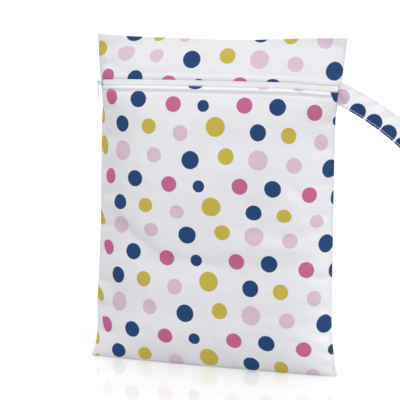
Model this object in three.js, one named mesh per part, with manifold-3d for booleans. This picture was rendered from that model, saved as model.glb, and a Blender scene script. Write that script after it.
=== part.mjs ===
// A flat cloth wet bag, filled and standing on its base, with a zip across the front
// and a folded strap handle sewn into the right side seam.
// Millimetres, +Z up, front towards -Y. The origin is the middle of the base, on the floor.
import * as THREE from 'three';
import Module from 'manifold-3d';
import { mergeVertices } from 'three/addons/utils/BufferGeometryUtils.js';

const wasm = await Module();
wasm.setup();

// Clearance between pieces that touch
const fit = 0.3;

// Bag
const bagHeight = 388;
const bagWidth = 294;
const frontDepth = 33;
const backDepth = 27;
const seamSetback = 5;
const clothWall = 2;
const seamRoundness = 0.1;
const baseFront = 2.5;
const baseBack = 35;
const baseRise = 46;

// Zip
const zipDrop = 53.1;
const zipOpening = 5;
const tapeWidth = 12;
const tapeWall = 1;
const coilWidth = 4.2;
const coilHeight = 1.7;

// Slider
const sliderFromSeam = 1.4;
const sliderLength = 10;
const sliderWidth = 7.6;
const sliderPlate = 1.2;
const sliderTail = 5.2;
const tailGap = 0.9;
const webLength = 4;
const webWall = 1.5;

// Pull
const barLength = 4.6;
const barHeight = 1;
const barWidth = 1.4;
const postWall = 1.1;
const pullLength = 18;
const pullWidth = 5;
const pullNeck = 3;
const pullWall = 1.2;
const knuckleWall = 0.8;
const pullHole = 1.1;

// Handle
const handleWidth = 25.5;
const handleLength = 150;
const handleWall = 2;
const handleSpread = 18;
const handleTuck = 8;
const handleDrop = 61.4;

// Fineness of the cloth grids and of the handle
const frontColumns = 30;
const backColumns = 24;
const baseRows = 2;
const riseRows = 5;
const frontRows = 22;
const backRows = 22;
const topRows = 6;
const runSteps = 22;
const turnSteps = 10;
const droopSteps = 24;

// Outline from the base up. Height is a share of bagHeight, left and right of half bagWidth,
// front and back of their depths, and seam of seamSetback, where the side seams lie behind the
// origin. Square and round are the exponents of the level section.
const outline = [
  { height: 0, left: 1.034, right: 1.007, front: 0.303, back: 1.66, seam: -3, square: 5, round: 1 },
  { height: 0.021, left: 1.017, right: 0.992, front: 0.333, back: 1.62, seam: -2.8, square: 5, round: 1 },
  { height: 0.041, left: 0.998, right: 0.984, front: 0.41, back: 1.55, seam: -2.4, square: 5, round: 1 },
  { height: 0.09, left: 0.996, right: 0.96, front: 0.545, back: 1.42, seam: -1.6, square: 5, round: 1 },
  { height: 0.18, left: 1.009, right: 0.937, front: 0.75, back: 1.26, seam: -0.5, square: 5, round: 1 },
  { height: 0.296, left: 1, right: 0.93, front: 0.91, back: 1.11, seam: 0.4, square: 5, round: 1 },
  { height: 0.45, left: 0.99, right: 0.9235, front: 0.985, back: 1.02, seam: 0.9, square: 5, round: 1 },
  { height: 0.567, left: 0.985, right: 0.919, front: 0.96, back: 0.95, seam: 1, square: 5, round: 1 },
  { height: 0.722, left: 0.979, right: 0.917, front: 0.85, back: 0.86, seam: 1, square: 5, round: 1 },
  { height: 0.789, left: 0.9685, right: 0.9195, front: 0.735, back: 0.77, seam: 1, square: 6.4, round: 1.5 },
  { height: 0.814, left: 0.97, right: 0.9255, front: 0.67, back: 0.72, seam: 1, square: 7, round: 2 },
  { height: 0.856, left: 0.98, right: 0.944, front: 0.565, back: 0.62, seam: 1, square: 7, round: 2 },
  { height: 0.897, left: 0.993, right: 0.964, front: 0.45, back: 0.5, seam: 1, square: 7, round: 2 },
  { height: 0.943, left: 0.999, right: 0.9765, front: 0.27, back: 0.32, seam: 1, square: 6.5, round: 1.8 },
  { height: 0.98, left: 1.002, right: 0.983, front: 0.1, back: 0.12, seam: 1, square: 6, round: 1.5 },
  { height: 1, left: 1.005, right: 0.994, front: 0.03, back: 0.03, seam: 1, square: 6, round: 1.5 },
];

// Rise of the zip and of the top seam from side seam to side seam, as shares of bagHeight
const zipLine = [
  { across: -1.0, rise: -0.0075 },
  { across: -0.95, rise: -0.0075 },
  { across: -0.85, rise: -0.004 },
  { across: -0.1, rise: 0.0 },
  { across: 0.6, rise: 0.0006 },
  { across: 0.85, rise: -0.0055 },
  { across: 1.0, rise: -0.009 },
];
const topLine = [
  { across: -1.0, rise: 0.001 },
  { across: -0.93, rise: -0.0025 },
  { across: -0.65, rise: -0.0065 },
  { across: 0.18, rise: -0.011 },
  { across: 0.45, rise: -0.0065 },
  { across: 0.8, rise: -0.001 },
  { across: 1.0, rise: 0.0 },
];

// Soft folds of the front. Across is a share of half the width, up a share of the height,
// long and wide are half sizes as shares of the height, turn is in degrees from level,
// and deep is a share of frontDepth, with hollows positive.
const folds = [
  { across: -0.72, up: 0.385, long: 0.13, wide: 0.03, turn: -32, deep: 0.09 },
  { across: 0.05, up: 0.305, long: 0.24, wide: 0.028, turn: -2, deep: 0.06 },
  { across: 0.68, up: 0.6, long: 0.05, wide: 0.035, turn: 60, deep: 0.05 },
  { across: 0.5, up: 0.46, long: 0.1, wide: 0.028, turn: 5, deep: 0.05 },
  { across: -0.25, up: 0.52, long: 0.14, wide: 0.06, turn: 20, deep: -0.04 },
  { across: 0.2, up: 0.7, long: 0.18, wide: 0.05, turn: -4, deep: 0.035 },
  { across: -0.55, up: 0.17, long: 0.12, wide: 0.035, turn: 10, deep: 0.04 },
  { across: 0.8, up: 0.16, long: 0.08, wide: 0.03, turn: -20, deep: 0.05 },
];

// Droop of the handle along its length: share of handleLength, and slope in degrees
const droop = [
  { along: 0.0, slope: 22 },
  { along: 0.2, slope: 29 },
  { along: 0.5, slope: 37 },
  { along: 1.0, slope: 58 },
];

// The handle's cross section: share of its width from the middle, and of its thickness
const handleCross = [
  { share: -0.5, thickness: 0.7 },
  { share: -0.3, thickness: 1 },
  { share: 0.3, thickness: 1 },
  { share: 0.5, thickness: 0.7 },
];

const clothColour = 0xdcdde6;
const coilColour = 0xd6d8e0;
const metalColour = 0xd9dbe2;

// Smooth value of a table's column, with no overshoot between its rows
function along(table, key, column, place) {
  const last = table.length - 1;
  const spot = Math.min(Math.max(place, table[0][key]), table[last][key]);
  let row = 0;
  while (row < last - 1 && spot > table[row + 1][key]) row += 1;
  const step = (i) => table[i + 1][key] - table[i][key];
  const slope = (i) => (table[i + 1][column] - table[i][column]) / step(i);
  const bend = (i) => {
    if (i === 0) return slope(0);
    if (i === last) return slope(last - 1);
    const product = slope(i - 1) * slope(i);
    return product > 0 ? (2 * product) / (slope(i - 1) + slope(i)) : 0;
  };
  const t = (spot - table[row][key]) / step(row);
  const rest = 1 - t;
  return (
    table[row][column] * (1 + 2 * t) * rest * rest
    + bend(row) * step(row) * t * rest * rest
    + table[row + 1][column] * t * t * (3 - 2 * t)
    - bend(row + 1) * step(row) * t * t * rest
  );
}

const outlineAt = (column, height) => along(outline, 'height', column, height / bagHeight);
const seamAt = (height) => seamSetback * outlineAt('seam', height);
const zipAt = (across) => bagHeight - zipDrop + bagHeight * along(zipLine, 'across', 'rise', across);
const topAt = (across) => bagHeight * (1 + along(topLine, 'across', 'rise', across));

const front = { side: -1, column: 'front', depth: frontDepth, base: baseFront };
const back = { side: 1, column: 'back', depth: backDepth, base: baseBack };

// Level of the handle's middle where it leaves the side seam
const handleLevel = bagHeight - handleDrop;
const handleHalf = handleWall + fit / 2;

// Share by which the right side seam opens round the handle at a height
function seamOpening(height) {
  const reach = handleWidth / 2 + 2 * fit;
  const fade = handleWidth / 2;
  const past = (Math.abs(height - handleLevel) - reach) / fade;
  return THREE.MathUtils.clamp(1 - past, 0, 1);
}

// How far the cloth of a face stands from the plane of the side seams at mid width
function depthAt(face, height) {
  const full = Math.max(face.depth * outlineAt(face.column, height), clothWall);
  const left = 1 - Math.min(height / baseRise, 1);
  return face.base + (full - face.base) * Math.sqrt(1 - left * left);
}

// Hollow of the front's folds at a place
function foldAt(x, height) {
  let hollow = 0;
  for (const fold of folds) {
    const turn = THREE.MathUtils.degToRad(fold.turn);
    const dx = x - (fold.across * bagWidth) / 2;
    const dz = height - fold.up * bagHeight;
    const lengthwise = (dx * Math.cos(turn) + dz * Math.sin(turn)) / (fold.long * bagHeight);
    const crosswise = (dz * Math.cos(turn) - dx * Math.sin(turn)) / (fold.wide * bagHeight);
    hollow += fold.deep * frontDepth * Math.exp(-lengthwise * lengthwise - crosswise * crosswise);
  }
  return hollow;
}

// A point of a face. Across runs from -1 at the left side seam to 1 at the right one, inset is how
// far inside the cloth's outer surface the point lies, and reach is the share of the way out from
// the base seam. Lift and depthInset are the inset's own shares near the base.
function skin(face, across, height, inset = 0, reach = 1, lift = 0, depthInset = inset) {
  const half = (bagWidth / 2) * outlineAt(across < 0 ? 'left' : 'right', height);
  const square = outlineAt('square', height);
  const round = outlineAt('round', height);
  const fullness = (1 - Math.abs(across) ** square) ** (1 / round);
  const x = across * (half - inset);
  const hollow = face === front ? foldAt(x, height) * fullness : 0;
  const cloth = (depthAt(face, height) - depthInset) * fullness + seamRoundness - hollow;
  const plain = fit / 2 + reach * cloth;
  const slot = seamOpening(height) * (handleHalf + fit + clothWall - inset);
  const offset = across > 0 ? Math.max(plain, slot) : plain;
  return [x, seamAt(height) + face.side * offset, height + lift];
}

// Shares across the bag, closer together towards the side seams
function columnsOf(count) {
  return Array.from({ length: count + 1 }, (_, i) => Math.sin(Math.PI * (i / count - 0.5)));
}

// Rows of a face from the base seam forward, up the rise and on to its upper edge
function rowsOf(face, upperRows, upperEdge) {
  const rows = [];
  for (let i = 0; i < baseRows; i += 1) {
    rows.push({ reach: i / baseRows, height: () => 0, out: 0, down: 1 });
  }
  const swell = face.depth * outline[0][face.column] - face.base;
  for (let i = 0; i <= riseRows; i += 1) {
    const turn = ((Math.PI / 2) * i) / riseRows;
    const normal = new THREE.Vector2(Math.sin(turn) / swell, Math.cos(turn) / baseRise).normalize();
    rows.push({ reach: 1, height: () => baseRise * (1 - Math.cos(turn)), out: normal.x, down: normal.y });
  }
  for (let i = 1; i <= upperRows; i += 1) {
    const share = i / upperRows;
    const height = (across) => baseRise + share * (upperEdge(across) - baseRise);
    rows.push({ reach: 1, height, out: 1, down: 0 });
  }
  return rows;
}

// A closed body between an outer and an inner grid of points of the same size
function between(outer, inner) {
  const rows = outer.length;
  const columns = outer[0].length;
  const under = rows * columns;
  const at = (row, column) => row * columns + column;
  const index = [];
  for (let r = 0; r + 1 < rows; r += 1) {
    for (let c = 0; c + 1 < columns; c += 1) {
      const [a, b, d, e] = [at(r, c), at(r, c + 1), at(r + 1, c), at(r + 1, c + 1)];
      index.push(a, b, e, a, e, d);
      index.push(under + a, under + e, under + b, under + a, under + d, under + e);
    }
  }
  const rim = [];
  for (let c = 0; c < columns - 1; c += 1) rim.push(at(0, c));
  for (let r = 0; r < rows - 1; r += 1) rim.push(at(r, columns - 1));
  for (let c = columns - 1; c > 0; c -= 1) rim.push(at(rows - 1, c));
  for (let r = rows - 1; r > 0; r -= 1) rim.push(at(r, 0));
  rim.forEach((p, i) => {
    const q = rim[(i + 1) % rim.length];
    index.push(q, p, under + p, q, under + p, under + q);
  });
  const geometry = new THREE.BufferGeometry();
  const points = [...outer.flat(2), ...inner.flat(2)];
  geometry.setAttribute('position', new THREE.Float32BufferAttribute(points, 3));
  geometry.setIndex(index);
  geometry.computeVertexNormals();
  return geometry;
}

// A cloth panel of one face over the given rows and columns
function panel(face, rows, columns) {
  const outer = rows.map((row) => columns.map((across) => (
    skin(face, across, row.height(across), 0, row.reach)
  )));
  const inner = rows.map((row) => columns.map((across) => (
    skin(face, across, row.height(across), clothWall, row.reach, clothWall * row.down, clothWall * row.out)
  )));
  return between(outer, inner);
}

// A strip of even thickness that follows the zip, between two offsets from its line
function zipStrip(lower, upper, outerInset, innerInset, columns) {
  const grid = (inset) => [lower, upper].map((offset) => columns.map((across) => (
    skin(front, across, zipAt(across) + offset, inset)
  )));
  return between(grid(outerInset), grid(innerInset));
}

// Closed geometry as a solid for joining and cutting, and back again
function solidOf(geometry) {
  const bare = geometry.clone();
  bare.deleteAttribute('normal');
  bare.deleteAttribute('uv');
  const merged = mergeVertices(bare, 1e-4);
  const vertProperties = new Float32Array(merged.attributes.position.array);
  const triVerts = new Uint32Array(merged.index.array);
  return new wasm.Manifold(new wasm.Mesh({ numProp: 3, vertProperties, triVerts }));
}

function geometryOf(solid) {
  const mesh = solid.getMesh();
  const geometry = new THREE.BufferGeometry();
  geometry.setAttribute('position', new THREE.BufferAttribute(mesh.vertProperties, 3));
  geometry.setIndex(new THREE.BufferAttribute(mesh.triVerts, 1));
  const faceted = geometry.toNonIndexed();
  faceted.computeVertexNormals();
  return faceted;
}

const joined = (...geometries) => (
  geometryOf(geometries.map(solidOf).reduce((whole, piece) => whole.add(piece)))
);

// An outline drawn across and up, extruded towards the front from the level plane at start
function plate(shape, thickness, start, curveSegments = 6) {
  const geometry = new THREE.ExtrudeGeometry(shape, { depth: thickness, bevelEnabled: false, curveSegments });
  geometry.rotateX(Math.PI / 2);
  geometry.translate(0, -start, 0);
  return geometry;
}

function roundedOutline(length, width, corner) {
  const [x, y] = [length / 2, width / 2];
  const shape = new THREE.Shape();
  shape.moveTo(-x + corner, -y);
  shape.lineTo(x - corner, -y);
  shape.quadraticCurveTo(x, -y, x, -y + corner);
  shape.lineTo(x, y - corner);
  shape.quadraticCurveTo(x, y, x - corner, y);
  shape.lineTo(-x + corner, y);
  shape.quadraticCurveTo(-x, y, -x, y - corner);
  shape.lineTo(-x, -y + corner);
  shape.quadraticCurveTo(-x, -y, -x + corner, -y);
  return shape;
}

// Slider depths, measured inwards from the cloth's outer surface
const coilTop = fit;
const tapeTop = clothWall + fit;
const tapeUnder = tapeTop + tapeWall;
const tailTop = tapeUnder + tailGap;
const knuckleBore = Math.hypot(barHeight, barWidth) / 2 + fit;
const knuckleRadius = knuckleBore + knuckleWall;
const barAxis = fit + sliderPlate + knuckleRadius + fit;

// Slider: a plate over the folds, a web through the opening, a tail plate behind the tapes
// and a bar along the chain that carries the pull
function sliderGeometry() {
  const crown = roundedOutline(sliderLength, sliderWidth, sliderWidth / 3);
  const tail = roundedOutline(sliderTail, sliderWidth, sliderWidth / 5);
  const web = roundedOutline(webLength, webWall, webWall / 3);
  const seat = fit + sliderPlate / 2;
  const archOutside = barAxis + barHeight / 2;
  const archInside = barAxis - barHeight / 2;
  const arch = new THREE.Shape();
  const foot = barLength / 2 + postWall;
  arch.moveTo(-foot, seat);
  arch.lineTo(-foot, archInside);
  arch.quadraticCurveTo(-foot, archOutside, -barLength / 2, archOutside);
  arch.lineTo(barLength / 2, archOutside);
  arch.quadraticCurveTo(foot, archOutside, foot, archInside);
  arch.lineTo(foot, seat);
  arch.lineTo(barLength / 2, seat);
  arch.lineTo(barLength / 2, archInside);
  arch.lineTo(-barLength / 2, archInside);
  arch.lineTo(-barLength / 2, seat);
  arch.closePath();
  const bar = new THREE.ExtrudeGeometry(arch, { depth: barWidth, bevelEnabled: false, curveSegments: 5 });
  bar.rotateX(Math.PI);
  bar.translate(0, 0, barWidth / 2);
  return joined(
    plate(crown, sliderPlate, fit),
    plate(web, tailTop + sliderPlate / 2 + seat, -tailTop - sliderPlate / 2),
    plate(tail, sliderPlate, -tailTop - sliderPlate),
    bar,
  );
}

// Pull: a knuckle round the slider's bar and a tapered tab with a rounded end and an eye
function pullGeometry() {
  const ring = new THREE.Shape();
  ring.absarc(0, 0, knuckleRadius, 0, 2 * Math.PI);
  const bore = new THREE.Path();
  bore.absarc(0, 0, knuckleBore, 0, 2 * Math.PI, true);
  ring.holes.push(bore);
  const knuckle = new THREE.ExtrudeGeometry(ring, { depth: pullNeck, bevelEnabled: false, curveSegments: 9 });
  knuckle.rotateY(Math.PI / 2);
  knuckle.translate(-pullNeck / 2, 0, 0);
  const half = pullWidth / 2;
  const root = -(knuckleBore + knuckleRadius) / 2;
  const tab = new THREE.Shape();
  tab.moveTo(-pullNeck / 2, root);
  tab.lineTo(-half, -pullLength / 2);
  tab.lineTo(-half, -pullLength + half);
  tab.absarc(0, -pullLength + half, half, Math.PI, 2 * Math.PI);
  tab.lineTo(half, -pullLength / 2);
  tab.lineTo(pullNeck / 2, root);
  tab.closePath();
  const eye = new THREE.Path();
  eye.absarc(0, -pullLength + half, pullHole, 0, 2 * Math.PI, true);
  tab.holes.push(eye);
  return joined(knuckle, plate(tab, pullWall, -pullWall / 2));
}

// Where the handle's middle line lies at a distance from the side seam, and its slope there
function droopAt(distance) {
  const slopeAt = (place) => (
    THREE.MathUtils.degToRad(along(droop, 'along', 'slope', place / handleLength))
  );
  const stride = distance / droopSteps;
  const seamHalf = (bagWidth / 2) * outlineAt('right', handleLevel);
  const point = new THREE.Vector2(seamHalf, handleLevel);
  for (let i = 0; i < droopSteps; i += 1) {
    const slope = slopeAt((i + 0.5) * stride);
    point.x += stride * Math.cos(slope);
    point.y -= stride * Math.sin(slope);
  }
  return { point, slope: slopeAt(distance) };
}

// Handle: one strip that leaves the seam, turns back at its far end and returns to the seam
function handleGeometry() {
  const turnRadius = handleSpread / 2;
  const straight = handleLength - turnRadius;
  const closed = (handleWall + fit) / 2;
  const apartAt = (distance) => (
    THREE.MathUtils.lerp(closed, turnRadius, THREE.MathUtils.smoothstep(distance, 0, straight))
  );
  const path = [];
  for (let i = 0; i <= runSteps; i += 1) {
    const distance = -handleTuck + (straight + handleTuck) * (i / runSteps);
    path.push(new THREE.Vector2(distance, -apartAt(distance)));
  }
  for (let i = 1; i < turnSteps; i += 1) {
    const turn = Math.PI * (i / turnSteps - 0.5);
    path.push(new THREE.Vector2(straight + turnRadius * Math.cos(turn), turnRadius * Math.sin(turn)));
  }
  for (let i = runSteps; i >= 0; i -= 1) {
    path.push(new THREE.Vector2(path[i].x, -path[i].y));
  }
  const grid = (side) => handleCross.map(({ share, thickness }) => path.map((spot, i) => {
    const before = path[Math.max(i - 1, 0)];
    const after = path[Math.min(i + 1, path.length - 1)];
    const run = after.clone().sub(before).normalize();
    const out = (side * thickness * handleWall) / 2;
    const distance = spot.x + out * run.y;
    const y = spot.y - out * run.x;
    const { point, slope } = droopAt(distance);
    const rise = share * handleWidth;
    return [point.x + rise * Math.sin(slope), seamAt(handleLevel) + y, point.y + rise * Math.cos(slope)];
  }));
  return between(grid(1), grid(-1));
}

const bag = new THREE.Group();

function addPiece(name, geometry, colour, roughness, metalness = 0, parent = bag) {
  const material = new THREE.MeshStandardMaterial({ color: colour, roughness, metalness });
  const mesh = new THREE.Mesh(geometry, material);
  mesh.name = name;
  parent.add(mesh);
  return mesh;
}

// Cloth panels
const columns = columnsOf(frontColumns);
const lowerFold = (across) => zipAt(across) - zipOpening / 2;
const upperFold = (across) => zipAt(across) + zipOpening / 2;
addPiece('front_panel', panel(front, rowsOf(front, frontRows, lowerFold), columns), clothColour, 0.8);

const topPanelRows = Array.from({ length: topRows + 1 }, (_, i) => ({
  reach: 1,
  height: (across) => THREE.MathUtils.lerp(upperFold(across), topAt(across), i / topRows),
  out: 1,
  down: 0,
}));
addPiece('top_panel', panel(front, topPanelRows, columns), clothColour, 0.8);

const backAcross = columnsOf(backColumns).reverse();
addPiece('back_panel', panel(back, rowsOf(back, backRows, topAt), backAcross), clothColour, 0.8);

// Zip tapes, which stop short of the side seams, and the coil on them
const tapeColumns = columns.slice(1, -1);
const tapeSlot = webWall / 2 + fit;
addPiece(
  'zip_tape_upper',
  zipStrip(tapeSlot, tapeWidth, tapeTop, tapeUnder, tapeColumns),
  coilColour,
  0.85,
);
addPiece(
  'zip_tape_lower',
  zipStrip(-tapeWidth, -tapeSlot, tapeTop, tapeUnder, tapeColumns),
  coilColour,
  0.85,
);

// The slider stands at the left end of the zip, square to the cloth there
const leftHalf = (bagWidth / 2) * outlineAt('left', zipAt(-1));
const sliderAcross = -1 + sliderFromSeam / leftHalf;
const nudge = sliderFromSeam / leftHalf / 4;
const zipPoint = (across, inset = 0) => new THREE.Vector3(...skin(front, across, zipAt(across), inset));
const sliderPoint = zipPoint(sliderAcross);
const chain = zipPoint(sliderAcross + nudge).sub(zipPoint(sliderAcross - nudge)).setZ(0).normalize();

const sliderPlace = new THREE.Group();
sliderPlace.position.copy(sliderPoint);
sliderPlace.rotation.z = Math.atan2(chain.y, chain.x);
bag.add(sliderPlace);
addPiece('zip_slider', sliderGeometry(), metalColour, 0.35, 0.6, sliderPlace);
const pull = addPiece('zip_pull', pullGeometry(), metalColour, 0.35, 0.6, sliderPlace);
pull.position.y = -barAxis;

// The coil starts just past the slider's web
const coilUnder = coilTop + coilHeight;
let coilStart = sliderAcross;
const pastWeb = (inset) => zipPoint(coilStart, inset).sub(sliderPoint).dot(chain);
while (Math.min(pastWeb(coilTop), pastWeb(coilUnder)) < webLength / 2 + fit) coilStart += nudge / 4;
const coilColumns = [coilStart, ...tapeColumns.filter((across) => across > coilStart + nudge)];
addPiece(
  'zip_coil',
  zipStrip(-coilWidth / 2, coilWidth / 2, coilTop, coilUnder, coilColumns),
  coilColour,
  0.6,
);

addPiece('handle_loop', handleGeometry(), clothColour, 0.8);

export default bag;
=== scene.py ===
import math

import bpy
import numpy as np
from mathutils import Matrix, Vector
from mathutils.bvhtree import BVHTree


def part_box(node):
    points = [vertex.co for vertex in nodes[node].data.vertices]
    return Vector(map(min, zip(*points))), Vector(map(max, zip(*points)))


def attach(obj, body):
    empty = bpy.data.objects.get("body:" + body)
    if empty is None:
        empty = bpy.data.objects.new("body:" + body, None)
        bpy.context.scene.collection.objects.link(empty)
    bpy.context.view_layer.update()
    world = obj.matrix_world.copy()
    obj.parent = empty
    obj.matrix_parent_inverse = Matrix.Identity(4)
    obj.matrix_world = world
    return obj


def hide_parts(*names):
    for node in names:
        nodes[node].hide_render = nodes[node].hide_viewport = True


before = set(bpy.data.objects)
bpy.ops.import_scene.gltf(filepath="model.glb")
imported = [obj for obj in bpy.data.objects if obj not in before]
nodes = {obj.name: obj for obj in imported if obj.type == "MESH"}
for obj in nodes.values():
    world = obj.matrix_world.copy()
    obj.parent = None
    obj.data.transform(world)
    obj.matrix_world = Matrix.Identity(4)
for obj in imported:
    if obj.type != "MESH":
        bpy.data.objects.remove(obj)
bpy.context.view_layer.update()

MM = 0.001

# The bag's own sizes, in metres
zip_level = 335 * MM
bag_height = 388 * MM
fold_band = 7.6 * MM
stitch_pitch = 2.9 * MM
stitch_length = 2.1 * MM
stitch_thick = 0.55 * MM
tooth_pitch = 1.35 * MM
cloth_wall = 2 * MM
rim_band = 2.2 * MM
seam_radius = 1.0 * MM
seam_inset = 1.5 * MM
strap_width = 25.5 * MM
strap_length = 150 * MM
strap_drop = 61.4 * MM
strap_middle = 5 * MM
strap_steps = 60
coil_half = 1.35 * MM
coil_back = 0.5 * MM

# The print: twelve dots in a cell that repeats
print_cell = (164.0 * MM, 91.1 * MM)
print_soft = 0.35 * MM
cloth_light, cloth_dark = (0.825, 0.825, 0.86), (0.79, 0.79, 0.83)
navy = (0.0025, 0.0415, 0.158)
pink = (0.54, 0.114, 0.265)
olive = (0.54, 0.43, 0.052)
blush = (0.675, 0.50, 0.605)
# across, up, radius in millimetres and ink
print_dots = [
    (-129.1, -23.7, 9.2, pink), (-91.1, -23.3, 9.6, navy), (-48.7, -26.8, 9.1, pink),
    (-13.1, -26.8, 6.9, navy), (-111.6, -53.0, 9.4, navy), (-76.6, -53.7, 8.7, olive),
    (-38.1, -59.1, 8.9, blush), (2.7, -49.6, 11.2, olive), (-109.7, -83.3, 11.1, blush),
    (-68.5, -85.4, 8.8, blush), (-24.6, -88.4, 10.4, navy), (16.9, -81.6, 9.3, olive),
]
# how the cloth's fullness moves the print up or down, in millimetres, at lengths below the zip
print_drift = [
    (-330, 0.4), (-300, 2.0), (-267, 0.9), (-234, -1.4), (-205, -2.6), (-172, -2.9), (-146, 1.4),
    (-117, 0.7), (-85, 1.0), (-53, -0.2), (-25, -0.4),
]
# turn in degrees, and shift across and up in millimetres, of the print on each panel
print_lay = {
    "front": (1.5, 0.8, -0.4),
    "top": (2.24, -5.7, 23.2),
    "back": (-1.5, 40.0, 10.0),
}
# how filled corners and edges pull the print: place, reach and shift, each across and up in millimetres
print_pulls = {
    "front": [
        (-142, 300, 22, 35, 3.0, 0.4), (-142, 272, 14, 18, 6.5, 0.0), (-145, 298, 10, 16, 11.0, -4.5),
        (-142, 246, 14, 16, 3.5, -3.5), (-140, 195, 22, 40, 0.6, -2.0), (-142, 170, 14, 18, -0.5, -6.0),
        (-144, 84, 14, 20, 4.0, -8.0), (-140, 72, 22, 40, 2.2, -0.6), (-130, 14, 40, 26, 3.4, -0.5),
        (-149, 16, 12, 26, 15.0, -2.0), (-147, 32, 12, 10, 3.0, -3.0), (-148, 5, 14, 9, 4.0, 6.0),
        (-134, 42, 14, 14, -0.5, 1.8), (-128, 318, 14, 16, 1.6, 1.0), (-60, 4, 70, 20, 2.4, -0.6),
        (30, 2, 60, 20, 2.8, 0.0), (95, 4, 60, 24, 3.2, 0.0), (120, 60, 36, 40, 2.0, 0.0),
        (128, 130, 26, 36, 1.4, -1.4), (115, 235, 40, 48, 0.2, -2.4), (138, 322, 14, 14, 4.2, -7.5),
        (136, 296, 10, 15, -6.0, -11.5), (136, 198, 10, 15, -1.0, -7.0), (137, 112, 10, 15, -0.6, -4.0),
        (138, 30, 10, 15, 0.0, -2.0),
    ],
    "top": [
        (-122, 366, 38, 30, 4.6, -1.0), (-150, 370, 16, 16, 8.0, 0.0), (-140, 345, 20, 20, 2.5, 0.0),
        (-72, 388, 26, 12, 8.5, -7.5), (-104, 388, 24, 14, 11.5, -10.0), (135, 350, 42, 30, 1.6, -4.6),
        (-38, 388, 16, 12, 1.5, 2.0), (118, 384, 20, 16, 0.0, 3.6), (60, 388, 60, 10, 0.0, -2.0),
    ],
    "back": [],
}
# the strap's own cut of the same cloth
strap_cell = (129 * MM, 60 * MM)
strap_dots = [
    (33.1, 4.2, 9.6, navy), (55.5, 4.2, 9.6, navy), (76.0, 4.2, 9.6, navy), (97.5, 4.2, 9.6, navy),
    (119.1, 4.2, 9.6, navy), (9.2, 10.4, 9.0, blush),
]

# Soft creases
# across, up, half length and half width in millimetres, turn in degrees, depth in millimetres
creases = [
    (-128, 178, 26, 8, -34, 2.2), (-92, 152, 30, 7, -33, 2.6), (-30, 128, 46, 8, -4, 1.6),
    (60, 130, 40, 9, 2, 1.5), (104, 132, 26, 7, 16, 1.2), (96, 214, 15, 7, -44, 2.4),
    (70, 196, 20, 8, 10, 1.0), (64, 166, 30, 7, -3, 1.6), (102, 164, 26, 8, 8, 1.8),
    (40, 152, 22, 7, 24, -0.8), (88, 150, 34, 6, -2, -1.0), (-120, 262, 20, 8, 4, 1.6),
    (-128, 236, 12, 6, -20, 1.8), (-118, 202, 20, 8, -14, 1.2), (-132, 140, 9, 17, 0, 2.0),
    (-120, 84, 30, 9, -6, 1.7), (-60, 60, 40, 9, -10, 0.8), (40, 66, 46, 8, 6, 0.8),
    (112, 60, 24, 6, 14, 1.0), (112, 36, 24, 5, -12, 1.4), (120, 20, 20, 4, -16, 1.2),
    (-96, 40, 26, 7, 12, 1.0), (0, 236, 60, 16, 6, -0.9), (-60, 220, 30, 12, -24, -0.8),
    (118, 268, 14, 26, 10, 1.0), (-96, 372, 22, 7, -12, 1.0), (-128, 360, 8, 14, 8, 1.4),
    (96, 366, 24, 7, 14, -0.8), (126, 372, 12, 10, -30, 1.2), (-20, 358, 40, 6, 2, 0.5),
]
# creases of the strap, in lengths along it and above its lower edge
strap_creases = [
    (8, 17, 7, 1.3, 40, 0.9), (9, 8, 7, 1.3, -38, 0.9), (15, 13, 6, 1.6, 75, -0.6),
    (26, 20, 9, 2.6, 62, 0.7), (34, 17, 10, 2.4, 55, -0.5), (45, 20, 10, 2.8, 60, 0.8),
    (53, 15, 9, 2.4, 52, -0.5), (66, 20, 11, 3.0, 58, 0.7), (82, 17, 12, 3.0, 50, 0.6),
    (98, 19, 12, 3.2, 60, -0.6), (112, 14, 12, 3.0, 48, 0.6), (128, 18, 10, 3.0, 62, 0.6),
]
# puckers along a side seam: how far up in millimetres and how strong
puckers_left = [
    (372, 0.8), (352, 1.0), (300, 1.2), (268, 1.4), (228, 1.6), (198, 1.1), (160, 1.5), (128, 1.2),
    (92, 1.5), (60, 1.0), (30, 1.3),
]
puckers_right = [
    (378, 0.7), (350, 0.8), (292, 1.0), (262, 1.2), (222, 0.9), (186, 1.2), (148, 1.0), (112, 1.3),
    (78, 1.0), (46, 1.4), (24, 1.2), (10, 1.0),
]


# Shaping
def only(piece):
    """Selects one piece and nothing else."""
    bpy.ops.object.select_all(action="DESELECT")
    piece.select_set(True)
    bpy.context.view_layer.objects.active = piece


def finished(piece, kind, **settings):
    """Adds a modifier to a piece and applies it."""
    only(piece)
    modifier = piece.modifiers.new(kind.title(), kind)
    for name, value in settings.items():
        setattr(modifier, name, value)
    bpy.ops.object.modifier_apply(modifier=modifier.name)


def points_of(piece):
    co = np.zeros(len(piece.data.vertices) * 3)
    piece.data.vertices.foreach_get("co", co)
    return co.reshape(-1, 3)


def move_to(piece, points):
    piece.data.vertices.foreach_set("co", np.ascontiguousarray(points, dtype=np.float64).ravel())
    piece.data.update()


def choose_faces(piece, wanted):
    """In edit mode, selects the faces whose middle and normal pass a test."""
    bpy.ops.mesh.select_all(action="DESELECT")
    bpy.ops.object.mode_set(mode="OBJECT")
    for face in piece.data.polygons:
        face.select = bool(wanted(face.center, face.normal))
    bpy.ops.object.mode_set(mode="EDIT")


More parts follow.
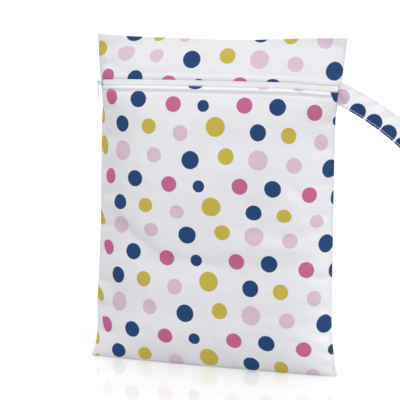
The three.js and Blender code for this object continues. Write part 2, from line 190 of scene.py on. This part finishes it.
def cloth_copy(node, name, levels, extra=None):
    """A finer copy of a CAD panel: merged, in quads, with its rim rounded."""
    piece = bpy.data.objects.new(name, nodes[node].data.copy())
    bpy.context.scene.collection.objects.link(piece)
    piece.data.materials.clear()
    only(piece)
    bpy.ops.mesh.customdata_custom_splitnormals_clear()
    bpy.ops.object.mode_set(mode="EDIT")
    bpy.ops.mesh.select_mode(type="FACE")
    bpy.ops.mesh.select_all(action="SELECT")
    bpy.ops.mesh.remove_doubles(threshold=0.01 * MM)
    bpy.ops.mesh.tris_convert_to_quads(face_threshold=math.pi, shape_threshold=math.pi)
    bpy.ops.object.mode_set(mode="OBJECT")
    finished(piece, "BEVEL", width=0.5 * MM, segments=2, limit_method="ANGLE", angle_limit=math.radians(50))
    finished(piece, "SUBSURF", levels=levels, render_levels=levels)
    if extra:
        bpy.ops.object.mode_set(mode="EDIT")
        choose_faces(piece, extra)
        bpy.ops.mesh.subdivide(number_cuts=1)
        bpy.ops.object.mode_set(mode="OBJECT")
    return piece


def tree_of(pieces):
    """One search tree over the meshes of several pieces."""
    corners, faces = [], []
    for piece in pieces:
        start = len(corners)
        corners += [v.co.copy() for v in piece.data.vertices]
        faces += [[start + i for i in face.vertices] for face in piece.data.polygons]
    return BVHTree.FromPolygons(corners, faces)


def evened(table, axis, reach=4):
    """A table averaged over its neighbouring places, so that steps at a rim don't show in the print."""
    share = np.full(2 * reach + 1, 1 / (2 * reach + 1))

    def averaged(row):
        return np.convolve(np.pad(row, reach, mode="edge"), share, "valid")

    return np.apply_along_axis(averaged, axis, table)


class Face:
    """One face of the bag: its depth over a grid of places, and the lengths along its cloth."""

    step = 1.5 * MM

    def __init__(self, names, facing):
        self.facing = facing
        self.across = np.arange(-155 * MM, 155.1 * MM, self.step)
        self.up = np.arange(1 * MM, 387.6 * MM, self.step)
        tree = tree_of([nodes[n] for n in names])
        depth = np.full((len(self.across), len(self.up)), np.nan)
        for i, x in enumerate(self.across):
            for j, z in enumerate(self.up):
                hit = tree.ray_cast(Vector((x, facing, z)), Vector((0, -facing, 0)))[0]
                if hit is not None:
                    depth[i, j] = hit.y
        for j in range(len(self.up)):
            known = ~np.isnan(depth[:, j])
            depth[:, j] = np.interp(self.across, self.across[known], depth[known, j])
        self.depth = depth
        slope_across, slope_up = np.gradient(depth, self.step)
        middle = np.argmin(abs(self.across))
        level = np.argmin(abs(self.up - zip_level))
        along = np.cumsum(np.sqrt(1 + np.clip(slope_across, -2, 2) ** 2), axis=0) * self.step
        rise = np.cumsum(np.sqrt(1 + np.clip(slope_up, -2, 2) ** 2), axis=1) * self.step
        self.along = evened(along - along[middle], 1)
        self.rise = evened(rise - rise[:, level:level + 1], 0)

    def look(self, table, x, z):
        """A table's value between its grid places."""
        i = np.clip((x - self.across[0]) / self.step, 0, len(self.across) - 1.001)
        j = np.clip((z - self.up[0]) / self.step, 0, len(self.up) - 1.001)
        a, b = i.astype(int), j.astype(int)
        s, t = i - a, j - b
        return ((1 - s) * (1 - t) * table[a, b] + s * (1 - t) * table[a + 1, b]
                + (1 - s) * t * table[a, b + 1] + s * t * table[a + 1, b + 1])

    def flat(self, p):
        """Lengths along the cloth, across from the middle and up from the zip."""
        x, y, z = p.T
        under = np.maximum((self.look(self.depth, x, z) - y) * self.facing, 0)
        low = np.clip(1 - z / (12 * MM), 0, 1)
        return self.look(self.along, x, z), self.look(self.rise, x, z) - under * low


front_face = Face(["front_panel", "top_panel", "zip_coil"], -1)
back_face = Face(["back_panel"], 1)


def noise_of(p, size, seed):
    """Smooth repeatable noise from a few crossed waves."""
    rng = np.random.default_rng(seed)
    total = np.zeros(len(p))
    for _ in range(7):
        way = rng.normal(size=3)
        way *= (2 * math.pi / size) * rng.uniform(0.7, 1.4) / np.linalg.norm(way)
        total += np.sin(p @ way + rng.uniform(0, 2 * math.pi))
    return total / math.sqrt(7)


def hollow_at(p, rows):
    """How deep the creases are at each point."""
    deep = np.zeros(len(p))
    for across, up, long, wide, turn, depth in rows:
        turn = math.radians(turn)
        dx, dz = p[:, 0] / MM - across, p[:, 2] / MM - up
        s = (dx * math.cos(turn) + dz * math.sin(turn)) / long
        t = (dz * math.cos(turn) - dx * math.sin(turn)) / wide
        deep += depth * MM * np.exp(-s * s - t * t)
    return deep


def pucker_at(p, edge, rows, reach=15 * MM):
    """Short creases that run in from a side seam."""
    inward = np.abs(edge - p[:, 0])
    deep = np.zeros(len(p))
    for up, strength in rows:
        t = (p[:, 2] / MM - up - 0.12 * inward / MM) / 5.5
        deep += strength * MM * np.exp(-t * t) * np.exp(-((inward - 9 * MM) / reach) ** 2)
    return deep


def seam_edges(piece):
    """Where the left and right side seams lie at each level of a piece."""
    p = points_of(piece)
    levels = np.arange(0, 392, 4) * MM
    band = [p[np.abs(p[:, 2] - z) < 4 * MM, 0] for z in levels]
    known = [i for i, b in enumerate(band) if len(b)]
    left = np.interp(levels, levels[known], [band[i].min() for i in known])
    right = np.interp(levels, levels[known], [band[i].max() for i in known])
    return levels, left, right


def rumple(piece, facing, rows, keep=(), even_shade=0.0):
    """Moves a panel's skin in and out by its creases, seam puckers and slight unevenness."""
    p = points_of(piece)
    levels, left, right = seam_edges(piece)
    l, r = np.interp(p[:, 2], levels, left), np.interp(p[:, 2], levels, right)
    inward = np.minimum(p[:, 0] - l, r - p[:, 0])
    calm = np.clip(inward / (16 * MM), 0, 1) ** 1.2
    for start, end in keep:
        calm = calm * np.clip(np.maximum(start - p[:, 2], p[:, 2] - end) / (6 * MM), 0, 1)
    base = np.clip(p[:, 2] / (10 * MM), 0, 1)
    deep = 0.5 * hollow_at(p, rows) * calm * base
    puckers = pucker_at(p, l, puckers_left) + pucker_at(p, r, puckers_right)
    deep += puckers * np.clip(inward / (5 * MM), 0, 1) * base
    deep += 0.35 * MM * noise_of(p * (1, 0.3, 1), 60 * MM, 3) * calm * base
    deep += 0.12 * MM * noise_of(p * (1, 0.3, 1), 19 * MM, 4) * calm * base
    # Painted shade: the cloth is darkened towards the bottom, where it curves under, and along the side
    # seams, where it turns away; noise makes it patchy
    patchy = 0.75 + 0.25 * noise_of(p, 30 * MM, 8)
    low, rim = np.exp(-(p[:, 2] / (19 * MM)) ** 2), np.exp(-(inward / (2.5 * MM)) ** 2)
    painted_shade(piece, even_shade + (0.7 * low + 0.5 * rim) * patchy)
    p[:, 1] -= facing * deep
    move_to(piece, p)


def pull_at(p, rows):
    """How far the cloth's fullness pulls the print across and up at each point."""
    right, rise = np.zeros(len(p)), np.zeros(len(p))
    for across, up, wide, high, shift_across, shift_up in rows:
        near = np.exp(-((p[:, 0] / MM - across) / wide) ** 2 - ((p[:, 2] / MM - up) / high) ** 2)
        right += near * shift_across * MM
        rise += near * shift_up * MM
    return right, rise


def lay_print(piece, face, lay, drift=False):
    """Gives a panel the print's own coordinates, which follow the cloth."""
    turn, across, up = print_lay[lay]
    u, v = face.flat(points_of(piece))
    if drift:
        v = v + np.interp(v / MM, [row[0] for row in print_drift], [row[1] for row in print_drift]) * MM
    right, rise = pull_at(points_of(piece), print_pulls[lay])
    u, v = u - across * MM - right, v - up * MM - rise
    turn = math.radians(turn)
    store_print(piece, u * math.cos(turn) - v * math.sin(turn), u * math.sin(turn) + v * math.cos(turn))


def store_print(piece, u, v):
    for old in list(piece.data.uv_layers):
        piece.data.uv_layers.remove(old)
    layer = piece.data.uv_layers.new(name="print")
    corner = np.zeros(len(piece.data.loops), dtype=np.int32)
    piece.data.loops.foreach_get("vertex_index", corner)
    layer.data.foreach_set("uv", np.column_stack([u, v])[corner].astype(np.float32).ravel())


def painted_shade(piece, shade):
    """Stores painted shade: how much darker a cloth is drawn at each point, for its finish."""
    layer = piece.data.attributes.new("painted_shade", "FLOAT", "POINT")
    layer.data.foreach_set("value", np.clip(shade, 0, 1).astype(np.float32))


def path_curve(name, points):
    curve = bpy.data.curves.new(name, "CURVE")
    curve.dimensions = "3D"
    curve.twist_mode = "Z_UP"
    spline = curve.splines.new("POLY")
    spline.points.add(len(points) - 1)
    for spot, point in zip(spline.points, points):
        spot.co = (*point, 1)
    made = bpy.data.objects.new(name, curve)
    bpy.context.scene.collection.objects.link(made)
    return made


def smooth(piece):
    only(piece)
    bpy.ops.object.shade_smooth_by_angle(angle=math.radians(50))


# Finishes
class Wire:
    """A socket whose sums, differences and products add Math nodes."""

    def __init__(self, paint, socket):
        self.paint, self.socket = paint, socket

    def math(self, operation, *others):
        values = {0: self}
        values.update({i + 1: other for i, other in enumerate(others)})
        return self.paint.node("ShaderNodeMath", {"operation": operation}, values)

    def __add__(self, other):
        return self.math("ADD", other)

    def __sub__(self, other):
        return self.math("SUBTRACT", other)

    def __mul__(self, other):
        return self.math("MULTIPLY", other)

    def __rsub__(self, other):
        return self.paint.node("ShaderNodeMath", {"operation": "SUBTRACT"}, {0: other, 1: self})

    __radd__, __rmul__ = __add__, __mul__


class Paint:
    """A material or world whose nodes are made in code."""

    def __init__(self, owner):
        owner.use_nodes = True
        self.owner, self.tree = owner, owner.node_tree
        self.tree.nodes.clear()

    def node(self, kind, settings=None, values=None, out=0):
        made = self.tree.nodes.new(kind)
        for name, value in (settings or {}).items():
            setattr(made, name, value)
        for name, value in (values or {}).items():
            if isinstance(value, Wire):
                self.tree.links.new(value.socket, made.inputs[name])
            else:
                made.inputs[name].default_value = value
        return Wire(self, made.outputs[out])

    def mix(self, share, first, second):
        values = {0: share, 6: whole(first), 7: whole(second)}
        return self.node("ShaderNodeMix", {"data_type": "RGBA"}, values, out=2)

    def noise(self, place, scale, detail=2.0, roughness=0.5):
        return self.node("ShaderNodeTexNoise", {}, {"Vector": place, "Scale": scale, "Detail": detail,
                                                    "Roughness": roughness})

    def finish(self, **sockets):
        values = {name.replace("_", " "): whole(value) for name, value in sockets.items()}
        return self.show(self.node("ShaderNodeBsdfPrincipled", {}, values))

    def show(self, shader, kind="ShaderNodeOutputMaterial"):
        output = self.tree.nodes.new(kind)
        self.tree.links.new(shader.socket, output.inputs["Surface"])
        return self.owner


def material(name):
    return Paint(bpy.data.materials.new(name))


def whole(value):
    """A colour with its alpha."""
    return (*value, 1.0) if isinstance(value, tuple) and len(value) == 3 else value


def printed_cloth(name, cell, dots, painted_lightness=1.0):
    """Smooth laminated knit with printed dots, in the print's own coordinates."""
    paint = material(name)
    place = paint.node("ShaderNodeUVMap", {"uv_map": "print"})
    wander = paint.node("ShaderNodeTexNoise", {}, {"Vector": place, "Scale": 260.0, "Detail": 2.0}, out=1)
    shifted = paint.node("ShaderNodeVectorMath", {"operation": "MULTIPLY_ADD"},
                         {0: wander, 1: (0.0007, 0.0007, 0), 2: place})
    broad = paint.noise(place, 14.0, 3.0)
    fine = paint.noise(place, 1900.0, 2.0)
    # The cloth's tones are scaled by a painted lightness, which makes a copy look more brightly lit
    colour = paint.mix(broad, *(tuple(c * painted_lightness for c in tone) for tone in (cloth_dark, cloth_light)))
    colour = paint.mix(fine * 0.12, colour, (0.56, 0.56, 0.60))
    # Painted shade: the stored shade mixes the cloth towards grey (0.55, 0.54, 0.56), more where the broad
    # noise is high
    shade_mask = paint.node("ShaderNodeAttribute", {"attribute_name": "painted_shade"}, {}, out=2)
    colour = paint.mix(shade_mask * (broad * 0.4 + 0.3), colour, (0.55, 0.54, 0.56))
    half = (cell[0] / 2, cell[1] / 2, 1.0)
    for across, up, radius, ink in dots:
        away = paint.node("ShaderNodeVectorMath", {"operation": "SUBTRACT"},
                          {0: shifted, 1: (across * MM, up * MM, 0)})
        away = paint.node("ShaderNodeVectorMath", {"operation": "WRAP"},
                          {0: away, 1: half, 2: tuple(-h for h in half)})
        flat = paint.node("ShaderNodeVectorMath", {"operation": "MULTIPLY"}, {0: away, 1: (1, 1, 0)})
        distance = paint.node("ShaderNodeVectorMath", {"operation": "LENGTH"}, {0: flat}, out=1)
        inner, outer = radius * MM - print_soft, radius * MM + print_soft
        mask = paint.node("ShaderNodeMapRange", {"interpolation_type": "SMOOTHSTEP"},
                          {0: distance, 1: inner, 2: outer, 3: 1.0, 4: 0.0})
        colour = paint.mix(mask * (1 - fine * 0.02), colour, ink)
    loops = {"Vector": place, "Scale": 420.0, "Distortion": 1.6, "Detail": 1.0, "Detail Scale": 2.0}
    knit = paint.node("ShaderNodeTexWave", {"wave_type": "BANDS", "bands_direction": "X"}, loops)
    course = paint.node("ShaderNodeTexWave", {"wave_type": "BANDS", "bands_direction": "Y"}, loops)
    ripple = paint.noise(place, 70.0, 3.0, 0.55)
    relief = paint.node("ShaderNodeBump", {}, {"Strength": 0.35, "Distance": 0.0006, "Height": ripple})
    relief = paint.node("ShaderNodeBump", {}, {"Strength": 0.12, "Distance": 0.0002, "Height": knit * course,
                                               "Normal": relief})
    return paint.finish(Base_Color=colour, Roughness=0.56 + broad * 0.14, Sheen_Weight=0.02,
                        Sheen_Roughness=0.5, IOR=1.4, Specular_IOR_Level=0.3, Normal=relief)


def woven_tape():
    """Herringbone weave of the zip's tapes, on Object coordinates."""
    paint = material("woven_tape")
    place = paint.node("ShaderNodeTexCoord", {}, {}, out=3)
    rows = paint.node("ShaderNodeTexWave", {"wave_type": "BANDS", "bands_direction": "DIAGONAL"},
                      {"Vector": place, "Scale": 420.0, "Distortion": 0.6})
    crossed = paint.node("ShaderNodeTexWave", {"wave_type": "BANDS", "bands_direction": "X"},
                         {"Vector": place, "Scale": 300.0, "Distortion": 0.4})
    height = rows * 0.6 + crossed * 0.4
    colour = paint.mix(height, (0.62, 0.62, 0.65), (0.80, 0.80, 0.83))
    relief = paint.node("ShaderNodeBump", {}, {"Strength": 0.5, "Distance": 0.0003, "Height": height})
    return paint.finish(Base_Color=colour, Roughness=0.75 + height * 0.1, Normal=relief)


def nylon():
    """Satin nylon of the coil's turns."""
    paint = material("nylon_coil")
    place = paint.node("ShaderNodeTexCoord", {}, {}, out=3)
    speck = paint.noise(place, 700.0, 2.0)
    colour = paint.mix(speck, (0.86, 0.86, 0.88), (0.92, 0.92, 0.94))
    relief = paint.node("ShaderNodeBump", {}, {"Strength": 0.2, "Distance": 0.0001, "Height": speck})
    return paint.finish(Base_Color=colour, Roughness=0.36 + speck * 0.12, Normal=relief)


def enamel():
    """White enamel over cast metal, slightly scuffed."""
    paint = material("white_enamel")
    place = paint.node("ShaderNodeTexCoord", {}, {}, out=3)
    mottle = paint.noise(place, 180.0, 4.0, 0.6)
    scuff = paint.node("ShaderNodeMapRange", {}, {0: paint.noise(place, 620.0, 3.0, 0.7), 1: 0.64, 2: 0.72})
    colour = paint.mix(mottle, (0.74, 0.74, 0.76), (0.81, 0.81, 0.83))
    colour = paint.mix(scuff * 0.5, colour, (0.42, 0.43, 0.46))
    relief = paint.node("ShaderNodeBump", {}, {"Strength": 0.15, "Distance": 0.0001, "Height": mottle})
    return paint.finish(Base_Color=colour, Roughness=0.28 + scuff * 0.25, Metallic=scuff * 0.5,
                        Coat_Weight=0.35, Coat_Roughness=0.12, Normal=relief)


def thread():
    """Twisted sewing thread."""
    paint = material("thread")
    place = paint.node("ShaderNodeTexCoord", {}, {}, out=3)
    twist = paint.node("ShaderNodeTexWave", {"wave_type": "BANDS", "bands_direction": "DIAGONAL"},
                       {"Vector": place, "Scale": 900.0, "Distortion": 0.5})
    colour = paint.mix(twist, (0.72, 0.72, 0.76), (0.88, 0.88, 0.91))
    relief = paint.node("ShaderNodeBump", {}, {"Strength": 0.4, "Distance": 0.0001, "Height": twist})
    return paint.finish(Base_Color=colour, Roughness=0.7 + twist * 0.1, Normal=relief)


cloth = printed_cloth("printed_cloth", print_cell, print_dots)
# Painted light: the strap takes the same cloth with its tones 1.16 times lighter, so that it looks more
# brightly lit
lit_strap_cloth = printed_cloth("lit_strap_cloth", strap_cell, strap_dots, 1.16)
tape_finish, coil_finish, metal_finish, thread_finish = woven_tape(), nylon(), enamel(), thread()


def dress(piece, finish, body="bag", replaces=()):
    piece.data.materials.clear()
    piece.data.materials.append(finish)
    if replaces:
        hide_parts(*replaces)
    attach(piece, body)


# Panels
def groove(piece, level_at, wide, deep):
    """Presses a stitched channel into a front panel along a line."""
    p = points_of(piece)
    t = (p[:, 2] - level_at(p[:, 0])) / wide
    p[:, 1] += deep * np.exp(-t * t)
    move_to(piece, p)


def rim_line(node, upper):
    """The level of a node's upper or lower rim across the bag, as a function."""
    p = points_of(nodes[node])
    places = np.arange(-140, 141, 5) * MM
    pick = np.max if upper else np.min
    levels = [pick(p[np.abs(p[:, 0] - x) < 8 * MM, 2]) for x in places]
    return lambda x: np.interp(x, places, levels)


lower_fold = rim_line("front_panel", True)
upper_fold = rim_line("top_panel", False)


def fold_stitch_level(x):
    return lower_fold(x) - fold_band


def roll_fold(piece, level_at, below, swell=1.0 * MM):
    """Rounds the band between a fold and its stitching, so that it stands a little proud."""
    p = points_of(piece)
    t = (level_at(p[:, 0]) - p[:, 2]) / fold_band if below else (p[:, 2] - level_at(p[:, 0])) / fold_band
    hump = np.where((t > 0) & (t < 1), np.sin(math.pi * np.clip(t, 0, 1)), 0)
    p[:, 1] -= swell * hump
    move_to(piece, p)


def draw_edge(piece, level_at, amount, reach=4 * MM):
    """Draws a fold's edge up or down, its band with it."""
    p = points_of(piece)
    t = (p[:, 2] - level_at(p[:, 0])) / reach
    p[:, 2] += amount * np.exp(-t * t)
    move_to(piece, p)


front = cloth_copy("front_panel", "front_cloth", 2, lambda c, n: n.y < -0.3)
rumple(front, -1, creases, keep=[(fold_stitch_level(0) - 1 * MM, 1)])
roll_fold(front, lower_fold, True)
groove(front, fold_stitch_level, 2.1 * MM, 0.7 * MM)
lay_print(front, front_face, "front", drift=True)
draw_edge(front, lower_fold, -1.6 * MM)
smooth(front)
dress(front, cloth, replaces=["front_panel"])

top = cloth_copy("top_panel", "top_cloth", 3)
# Painted shade: the top panel is darkened a little all over, since it tilts up towards the light
rumple(top, -1, creases, keep=[(0, upper_fold(0) + 6 * MM)], even_shade=0.25)
roll_fold(top, upper_fold, False, swell=0.6 * MM)
lay_print(top, front_face, "top")
draw_edge(top, upper_fold, 0.8 * MM)
smooth(top)
dress(top, cloth, replaces=["top_panel"])

back = cloth_copy("back_panel", "back_cloth", 2)
rumple(back, 1, [(-x, z, l, w, -t, 0.8 * d) for x, z, l, w, t, d in creases])
lay_print(back, back_face, "back")
smooth(back)
dress(back, cloth, replaces=["back_panel"])


# Seam rolls
def seam_roll(name, fronts, spots, run, out):
    """The turned seam allowance that closes the joint between front and back, just inside their rims."""
    ahead, behind = np.vstack([points_of(piece) for piece in fronts]), points_of(back)
    path = []
    for spot in spots:
        rims = [p[np.abs(p[:, run] - spot) < rim_band] for p in (ahead, behind)]
        if not all(len(p) for p in rims):
            continue
        edge = min((p @ out).max() for p in rims)
        near_front, near_back = [p[p @ out > edge - cloth_wall, 1] for p in rims]
        centre = out * (edge - seam_inset)
        centre[run] = spot
        centre[1] = (near_front.max() + near_back.min()) / 2
        path.append(centre)
    softened = evened(np.array(path), 0, 1)[1:-1]
    piece = path_curve(name, np.vstack([path[:1], softened, path[-1:]]))
    piece.data.bevel_depth = seam_radius
    piece.data.bevel_resolution = 2
    piece.data.use_fill_caps = True
    only(piece)
    bpy.ops.object.convert(target="MESH")
    lay_print(piece, front_face, "front")
    # Painted shade: the seam rolls are darkened evenly, as they sit in the joint between the panels
    painted_shade(piece, np.full(len(points_of(piece)), 0.4))
    smooth(piece)
    dress(piece, cloth)


side_levels = np.arange(3, 387, 3) * MM
top_places = np.arange(-147, 138, 3) * MM
seam_roll("left_seam", [front, top], side_levels, 2, np.array([-1.0, 0, 0]))
seam_roll("right_seam", [front, top], side_levels, 2, np.array([1.0, 0, 0]))
seam_roll("top_seam", [top], top_places, 0, np.array([0, 0, 1.0]))


# Strap
strap = cloth_copy("handle_loop", "strap", 3)
strap_root = (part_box("handle_loop")[0].x + 8 * MM, bag_height - strap_drop)
strap_shares = np.linspace(0, 1, strap_steps + 1)
strap_turns = np.radians(np.interp(strap_shares, [0, 0.2, 0.5, 1], [22, 29, 37, 58]))
strap_way = np.column_stack([np.cos(strap_turns), -np.sin(strap_turns)])
strap_stride = strap_length / strap_steps
strap_line = np.vstack([[0, 0], np.cumsum(strap_way[:-1] * strap_stride, axis=0)]) + strap_root


def strap_rise(along):
    """How far the strap lies above the line of its even droop."""
    return (1.7 + 10 * along) * MM


def strap_lengths(p):
    """How far along the strap each point lies, and how far above its lower edge."""
    off = p[:, None, [0, 2]] - strap_line[None]
    nearest = np.argmin((off ** 2).sum(-1), axis=1)
    pick, run = off[np.arange(len(p)), nearest], strap_way[nearest]
    along = nearest * strap_stride + (pick * run).sum(1)
    above = pick[:, 1] * run[:, 0] - pick[:, 0] * run[:, 1] + strap_width / 2
    return along, above - strap_rise(along)


def strap_place(along, above):
    """The place across and up of a spot on the strap."""
    i = min(int(along / strap_stride), strap_steps - 1)
    spot = strap_line[i] + strap_way[i] * (along - i * strap_stride)
    square = np.array([-strap_way[i][1], strap_way[i][0]])
    return spot + square * (above + strap_rise(along) - strap_width / 2)


p = points_of(strap)
along, above = strap_lengths(p)
flat_spots = np.column_stack([along, np.zeros(len(p)), above])
strand = np.where(p[:, 1] < strap_middle, 1, -1)
held = np.clip((along - 1 * MM) / (5 * MM), 0, 1)
p[:, 1] += strand * held * hollow_at(flat_spots, strap_creases)
move_to(strap, p)
store_print(strap, along, above)
# Painted shade: the strap is darkened along its two edges and near its root at the seam
edge = np.minimum(np.abs(above), np.abs(strap_width - above))
painted_shade(strap, 0.5 * np.exp(-(edge / (1.2 * MM)) ** 2) + 0.4 * np.exp(-(along / (4 * MM)) ** 2))
smooth(strap)
dress(strap, lit_strap_cloth, replaces=["handle_loop"])


# Stitches and coil
def length_of(points):
    return float(np.linalg.norm(np.diff(points, axis=0), axis=1).sum())


def along_path(piece, points, pitch):
    """Repeats a piece along a path and applies it."""
    count = int(length_of(points) / pitch)
    finished(piece, "ARRAY", count=count, use_relative_offset=False, use_constant_offset=True,
             constant_offset_displace=(pitch, 0, 0))
    guide = path_curve(piece.name + "_path", points)
    finished(piece, "CURVE", object=guide, deform_axis="POS_X")
    bpy.data.objects.remove(guide)
    return piece


def stitch(name):
    """One stitch: a short rounded bar of thread."""
    bpy.ops.object.select_all(action="DESELECT")
    bpy.ops.mesh.primitive_cylinder_add(vertices=6, radius=stitch_thick / 2, depth=stitch_length,
                                        location=(stitch_length / 2, 0, 0),
                                        rotation=(0, math.pi / 2, 0))
    piece = bpy.context.object
    piece.name = name
    bpy.ops.object.transform_apply(location=True, rotation=True, scale=True)
    bpy.ops.object.mode_set(mode="EDIT")
    for end in (-1, 1):
        choose_faces(piece, lambda c, n: n.x * end > 0.9)
        bpy.ops.mesh.inset(thickness=stitch_thick * 0.2)
        bpy.ops.transform.translate(value=(0.1 * MM * end, 0, -0.25 * MM))
    bpy.ops.object.mode_set(mode="OBJECT")
    return piece


def surface_points(pieces, places, facing, lift):
    """Points on dressed pieces, seen from the front or back, moved out a little."""
    tree = tree_of(pieces)
    points = []
    for x, z in places:
        hit = tree.ray_cast(Vector((x, facing, z)), Vector((0, -facing, 0)))[0]
        if hit is not None:
            points.append(tuple(hit + Vector((0, facing * lift, 0))))
    return np.array(points)


def seam_row(name, pieces, places, facing):
    """A row of stitches along places on dressed pieces."""
    points = surface_points(pieces, places, facing, 0.1 * MM)
    piece = along_path(stitch(name), points, stitch_pitch)
    smooth(piece)
    dress(piece, thread_finish)


across = np.arange(-136, 131, 3) * MM
seam_row("zip_topstitch", [front], [(x, fold_stitch_level(x)) for x in across], -1)
for name, above, facing in [("strap_stitch_low", 2.0, -1), ("strap_stitch_high", 23.5, -1),
                            ("strap_stitch_low_back", 2.0, 1), ("strap_stitch_high_back", 23.5, 1)]:
    row = [strap_place(a * MM, above * MM) for a in range(4, 142, 3)]
    seam_row(name, [strap], row, facing)

coil_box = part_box("zip_coil")
coil_places = np.arange(coil_box[0].x + 1 * MM, coil_box[1].x - 1 * MM, 3 * MM)
coil_mid = [(x, (upper_fold(x) + lower_fold(x)) / 2) for x in coil_places]
coil_path = surface_points([nodes["zip_coil"]], coil_mid, -1, 0)


def coil_turns(name, side):
    """Half of the chain: turns of nylon that hook over the middle."""
    centre = (0, coil_back, side * coil_half)
    bpy.ops.object.select_all(action="DESELECT")
    bpy.ops.mesh.primitive_torus_add(major_segments=10, minor_segments=5, major_radius=0.95 * MM,
                                     minor_radius=0.3 * MM, location=centre,
                                     rotation=(0, math.pi / 2, 0))
    piece = bpy.context.object
    piece.name = name
    bpy.ops.object.transform_apply(location=True, rotation=True, scale=True)
    bpy.ops.object.mode_set(mode="EDIT")
    bpy.ops.mesh.select_all(action="SELECT")
    bpy.ops.transform.resize(value=(1, 0.75, 1.42), center_override=centre)
    bpy.ops.object.mode_set(mode="OBJECT")
    if side > 0:
        move_to(piece, points_of(piece) + (tooth_pitch / 2, 0, 0))
    return piece


coils = [along_path(coil_turns("coil_upper", 1), coil_path, tooth_pitch),
         along_path(coil_turns("coil_lower", -1), coil_path, tooth_pitch)]
coil_tree = tree_of([nodes["zip_coil"]])


def coil_depth(x, z):
    """How far forward the coil's own skin lies at each place."""
    hits = [coil_tree.ray_cast(Vector((a, -1, b)), Vector((0, 1, 0)))[0] for a, b in zip(x, z)]
    known = np.array([hit is not None for hit in hits])
    depth = np.array([hit.y if hit else 0 for hit in hits])
    order = np.argsort(x[known])
    depth[~known] = np.interp(x[~known], x[known][order], depth[known][order])
    return depth


core = cloth_copy("zip_coil", "coil_core", 1)
p = points_of(core)
core_level = rim_line("zip_coil", True)(p[:, 0]) / 2 + rim_line("zip_coil", False)(p[:, 0]) / 2
away = np.clip(np.abs(p[:, 2] - core_level) / (2.1 * MM), 0, 1)
front_skin = coil_depth(p[:, 0], p[:, 2])
tuck = np.where(p[:, 2] > core_level, 1.6, 1.15) * MM
p[:, 1] = front_skin + (p[:, 1] - front_skin) * 0.35 + tuck * np.clip((away - 0.6) / 0.4, 0, 1)
p[:, 2] = core_level + (p[:, 2] - core_level) * 2.0
move_to(core, p)
smooth(core)
dress(core, coil_finish, replaces=["zip_coil"])
for coil in coils:
    smooth(coil)
    dress(coil, coil_finish)

for node, finish in [("zip_tape_upper", tape_finish), ("zip_tape_lower", tape_finish),
                     ("zip_slider", metal_finish), ("zip_pull", metal_finish)]:
    nodes[node].data.materials.clear()
    nodes[node].data.materials.append(finish)

# Stage, lights, camera
floor_paint = material("pale_floor")
sheet = floor_paint.node("ShaderNodeBsdfDiffuse", {}, {"Color": (0.85, 0.85, 0.85, 1)})
gloss = floor_paint.node("ShaderNodeBsdfGlossy", {}, {"Color": (1, 1, 1, 1), "Roughness": 0.03})
floor_paint.show(floor_paint.node("ShaderNodeMixShader", {}, {0: 0.16, 1: sheet, 2: gloss}))
bpy.ops.object.select_all(action="DESELECT")
bpy.ops.mesh.primitive_plane_add(size=160, location=(0, 0, 0))
floor = bpy.context.object
floor.name = "floor"
floor.data.materials.append(floor_paint.owner)
floor.visible_diffuse = False

sky = Paint(bpy.data.worlds.new("studio"))
way = sky.node("ShaderNodeTexCoord")
height = sky.node("ShaderNodeSeparateXYZ", {}, {0: way}, out=2)
glow = sky.node("ShaderNodeMapRange", {}, {0: height, 1: -0.3, 2: 0.55, 3: 0.51, 4: 1.28})
seen = sky.node("ShaderNodeLightPath")
strength = glow.math("MAXIMUM", seen)
sky_light = sky.node("ShaderNodeBackground", {}, {"Color": (1, 1, 1, 1), "Strength": strength})
bpy.context.scene.world = sky.show(sky_light, "ShaderNodeOutputWorld")
bpy.context.scene.view_settings.view_transform = "Standard"

# One wide soft light from the upper right of the front
data = bpy.data.lights.new("key", "SUN")
data.energy, data.angle = 0.75, math.radians(40)
lamp = bpy.data.objects.new("key", data)
lamp.rotation_euler = Vector((-0.709, 0.41, -0.574)).to_track_quat("-Z", "Y").to_euler()
bpy.context.scene.collection.objects.link(lamp)

# The camera stands to the right of the front and looks slightly down
yaw, pitch, roll = (math.radians(a) for a in (14.12, 10.28, 0.48))
level = Vector((-math.sin(yaw), math.cos(yaw), 0))
right = Vector((math.cos(yaw), math.sin(yaw), 0))
aim = level * math.cos(pitch) - Vector((0, 0, 1)) * math.sin(pitch)
rise = level * math.sin(pitch) + Vector((0, 0, 1)) * math.cos(pitch)
side = right * math.cos(roll) + rise * math.sin(roll)
upward = rise * math.cos(roll) - right * math.sin(roll)
camera = bpy.data.objects.new("camera", bpy.data.cameras.new("camera"))
camera.data.lens, camera.data.sensor_width = 106.2, 36
turned = Matrix((side, upward, -aim)).transposed().to_4x4()
camera.matrix_world = Matrix.Translation((0.3115, -1.323, 0.444)) @ turned
bpy.context.scene.collection.objects.link(camera)
bpy.context.scene.camera = camera
